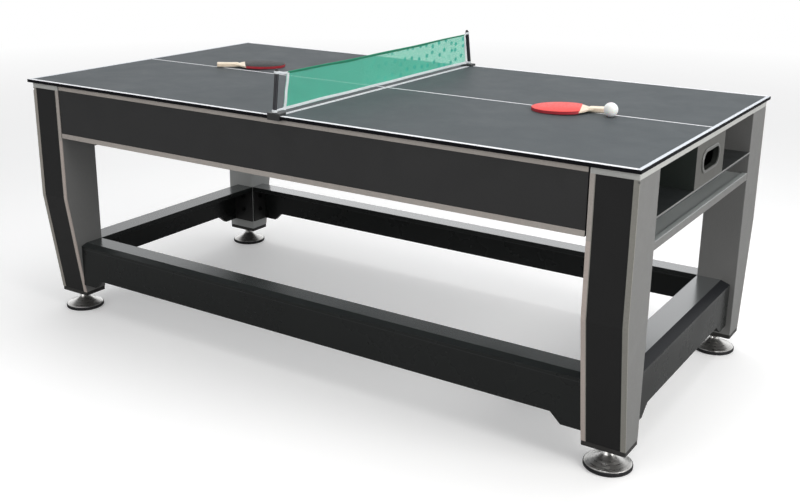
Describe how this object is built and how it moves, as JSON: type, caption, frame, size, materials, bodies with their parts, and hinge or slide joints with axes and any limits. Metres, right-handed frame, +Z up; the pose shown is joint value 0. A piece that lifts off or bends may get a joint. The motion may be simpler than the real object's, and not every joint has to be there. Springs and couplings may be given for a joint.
{
  "type": "bumper pool and multi-game table",
  "caption": "Long games table: a turning cabinet with a bumper pool bed and a glide hockey bed, under a lift-off table tennis top with net, on sloped legs with levelling feet.",
  "frame": {"origin": "on the floor, under the middle of the table", "axes": "+X along the length, towards the end with the ball; +Y across the width, towards the rear; +Z up"},
  "size_m": [2.09, 1.114, 0.9407],
  "materials": {
    "leg_board": "silver grey laminate, satin",
    "silver_board": "silver laminate, satin",
    "silver_trim": "satin",
    "black_board": "black laminate, satin",
    "grey_board": "grey laminate, satin",
    "dark_board": "dark laminate, satin",
    "stretcher_board": "black laminate, semi-gloss",
    "raw_board": "bare fibreboard",
    "tennis_board": "satin sports paint",
    "white_laminate": "gloss",
    "black_plastic": "moulded",
    "grey_plastic": "moulded",
    "white_plastic": "moulded",
    "nylon": "moulded",
    "black_rubber": "matt",
    "bumper_rubber": "matt",
    "brushed_foot": "brushed",
    "zinc_steel": "zinc plated",
    "black_steel": "powder coat",
    "green_cloth": "napped cloth",
    "net_fabric": "woven mesh",
    "bat_wood": "light varnish",
    "bat_rubber": "pimpled sheet",
    "ball_plastic": "smooth"
  },
  "bodies": {
    "frame": {"leg_front_left": "leg_board", "leg_front_right": "leg_board", "leg_rear_left": "leg_board", "leg_rear_right": "leg_board", "leg_inlays": "black_board", "leg_trims": "silver_trim", "leg_end_caps": "black_plastic", "end_unit_top_left": "silver_board", "end_unit_top_right": "silver_board", "pivot_box_left": "grey_board", "pivot_box_right": "grey_board", "upper_shelves": "dark_board", "lower_shelves": "dark_board", "hand_hole_rims": "grey_plastic", "inner_panels": "dark_board", "pivot_bushes": "nylon", "stretcher_front": "stretcher_board", "stretcher_rear": "stretcher_board", "stretcher_left": "stretcher_board", "stretcher_right": "stretcher_board", "stretcher_brackets": "black_steel", "stretcher_bolts": "zinc_steel"},
    "cabinet": {"cabinet_side_front": "black_board", "cabinet_side_rear": "black_board", "cabinet_end_left": "black_board", "cabinet_end_right": "black_board", "cabinet_trims": "silver_trim", "pool_bed": "raw_board", "pool_cloth": "green_cloth", "pool_rails": "black_board", "pool_cushions": "green_cloth", "pocket_cups": "black_plastic", "bumper_posts": "white_plastic", "bumper_rings": "bumper_rubber", "hockey_bed": "white_laminate", "hockey_rails": "black_plastic", "goal_trays": "grey_plastic", "blower_housing": "black_plastic", "pivot_axles": "zinc_steel"},
    "impeller": {"blower_impeller": "grey_plastic"},
    "lock_knob_left": {"lock_knob_left": "black_plastic"},
    "lock_knob_right": {"lock_knob_right": "black_plastic"},
    "tennis_top": {"tennis_top_left": "tennis_board", "tennis_top_right": "tennis_board", "net": "net_fabric"},
    "net_post_front": {"net_post_front": "black_plastic"},
    "net_post_rear": {"net_post_rear": "black_plastic"},
    "paddle_left": {"paddle_left": "bat_wood", "paddle_rubber_left": "bat_rubber"},
    "paddle_right": {"paddle_right": "bat_wood", "paddle_rubber_right": "bat_rubber"},
    "ball": {"ball": "ball_plastic"},
    "foot_front_left": {"foot_front_left": "brushed_foot", "foot_pad_front_left": "black_rubber"},
    "foot_front_right": {"foot_front_right": "brushed_foot", "foot_pad_front_right": "black_rubber"},
    "foot_rear_left": {"foot_rear_left": "brushed_foot", "foot_pad_rear_left": "black_rubber"},
    "foot_rear_right": {"foot_rear_right": "brushed_foot", "foot_pad_rear_right": "black_rubber"}
  },
  "joints": [
    {"name": "cabinet_flip", "type": "hinge", "parent": "frame", "child": "cabinet", "pos_m": [0, 0, 0.7145], "axis": [1, 0, 0], "range_deg": [0, 180]},
    {"name": "impeller_spin", "type": "hinge", "parent": "cabinet", "child": "impeller", "pos_m": [-0.35, 0, 0.69], "axis": [0, 0, 1], "continuous": true},
    {"name": "lock_knob_left_turn", "type": "hinge", "parent": "cabinet", "child": "lock_knob_left", "pos_m": [-0.96, 0, 0.7145], "axis": [-1, 0, 0], "range_deg": [0, 180]},
    {"name": "lock_knob_right_turn", "type": "hinge", "parent": "cabinet", "child": "lock_knob_right", "pos_m": [0.96, 0, 0.7145], "axis": [1, 0, 0], "range_deg": [0, 180]},
    {"name": "tennis_top_lift", "type": "slide", "parent": "frame", "child": "tennis_top", "axis": [0, 0, 1], "range_m": [0, 1.95]},
    {"name": "net_post_front_pull", "type": "slide", "parent": "tennis_top", "child": "net_post_front", "axis": [0, -1, 0], "range_m": [0, 0.03]},
    {"name": "net_post_rear_pull", "type": "slide", "parent": "tennis_top", "child": "net_post_rear", "axis": [0, 1, 0], "range_m": [0, 0.03]},
    {"name": "paddle_left_lift", "type": "slide", "parent": "tennis_top", "child": "paddle_left", "axis": [0, 0, 1], "range_m": [0, 0.25]},
    {"name": "paddle_right_lift", "type": "slide", "parent": "tennis_top", "child": "paddle_right", "axis": [0, 0, 1], "range_m": [0, 0.25]},
    {"name": "ball_lift", "type": "slide", "parent": "tennis_top", "child": "ball", "axis": [0, 0, 1], "range_m": [0, 0.25]},
    {"name": "foot_front_left_level", "type": "slide", "parent": "frame", "child": "foot_front_left", "axis": [0, 0, 1], "range_m": [-0.025, 0]},
    {"name": "foot_front_right_level", "type": "slide", "parent": "frame", "child": "foot_front_right", "axis": [0, 0, 1], "range_m": [-0.025, 0]},
    {"name": "foot_rear_left_level", "type": "slide", "parent": "frame", "child": "foot_rear_left", "axis": [0, 0, 1], "range_m": [-0.025, 0]},
    {"name": "foot_rear_right_level", "type": "slide", "parent": "frame", "child": "foot_rear_right", "axis": [0, 0, 1], "range_m": [-0.025, 0]}
  ],
  "couplings": [
    {"joint": "tennis_top_lift", "follows": "cabinet_flip", "m_per_rad": 0.62}
  ]
}
